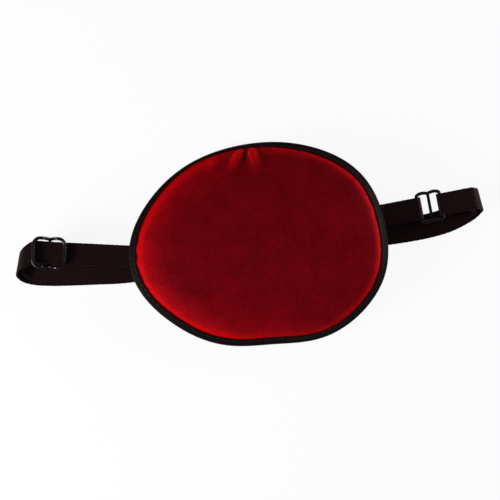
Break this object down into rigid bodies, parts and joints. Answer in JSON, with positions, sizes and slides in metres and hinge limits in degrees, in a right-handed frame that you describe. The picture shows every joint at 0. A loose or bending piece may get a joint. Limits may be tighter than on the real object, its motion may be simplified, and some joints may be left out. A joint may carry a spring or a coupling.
{
  "type": "eye patch",
  "caption": "Padded cloth eye patch with a bound rim on an adjustable elastic strap that runs through a slider and a joining ring, lying face up with the strap folded flat behind it.",
  "frame": {"origin": "under the middle of the patch, on the face of the elastic band that lies on the table", "axes": "+X towards the end with the joining ring, +Y up the patch, +Z out of the patch's front"},
  "size_m": [0.2108, 0.0913, 0.0139],
  "materials": {
    "red_satin": "deep red cloth with a soft sheen",
    "back_lining": "matte black brushed lining",
    "wadding": "off-white needled wadding",
    "binding_tape": "black folded tape",
    "elastic": "black knitted elastic",
    "thread": "black sewing thread",
    "buckle_plastic": "glossy moulded black plastic"
  },
  "bodies": {
    "patch": {"front_cover": "red_satin", "padding": "wadding", "back_cover": "back_lining", "edge_binding": "binding_tape", "binding_thread_front": "thread", "binding_thread_back": "thread", "left_tab": "elastic", "left_tab_bartack": "thread", "right_tab_upper": "elastic", "right_tab_lower": "elastic", "right_tab_bartack": "thread", "back_band_outer": "elastic", "back_band_inner": "elastic"},
    "left_wing": {"left_strap_outer": "elastic", "left_strap_inner": "elastic"},
    "slider": {"slider": "buckle_plastic", "strap_end": "elastic", "strap_end_bartack": "thread"},
    "right_wing": {"right_strap_outer": "elastic", "right_strap_inner": "elastic", "short_strap": "elastic"},
    "ring": {"ring": "buckle_plastic", "ring_loop": "elastic"}
  },
  "joints": [
    {"name": "left_strap_fold", "type": "hinge", "parent": "patch", "child": "left_wing", "pos_m": [-0.059, 0.00409, 0.006], "axis": [0.1219, 0.9925, 0], "range_deg": [0, 75]},
    {"name": "right_strap_fold", "type": "hinge", "parent": "patch", "child": "right_wing", "pos_m": [0.059, -0.005, 0.006], "axis": [0, -1, 0], "range_deg": [0, 75]},
    {"name": "slider_slide", "type": "slide", "parent": "left_wing", "child": "slider", "axis": [0.9781, -0.2079, 0], "range_m": [0, 0.022]},
    {"name": "ring_pivot", "type": "hinge", "parent": "right_wing", "child": "ring", "pos_m": [0.0732, 0.0039, 0.00425], "axis": [0.0262, -0.9997, 0], "range_deg": [0, 30]}
  ]
}
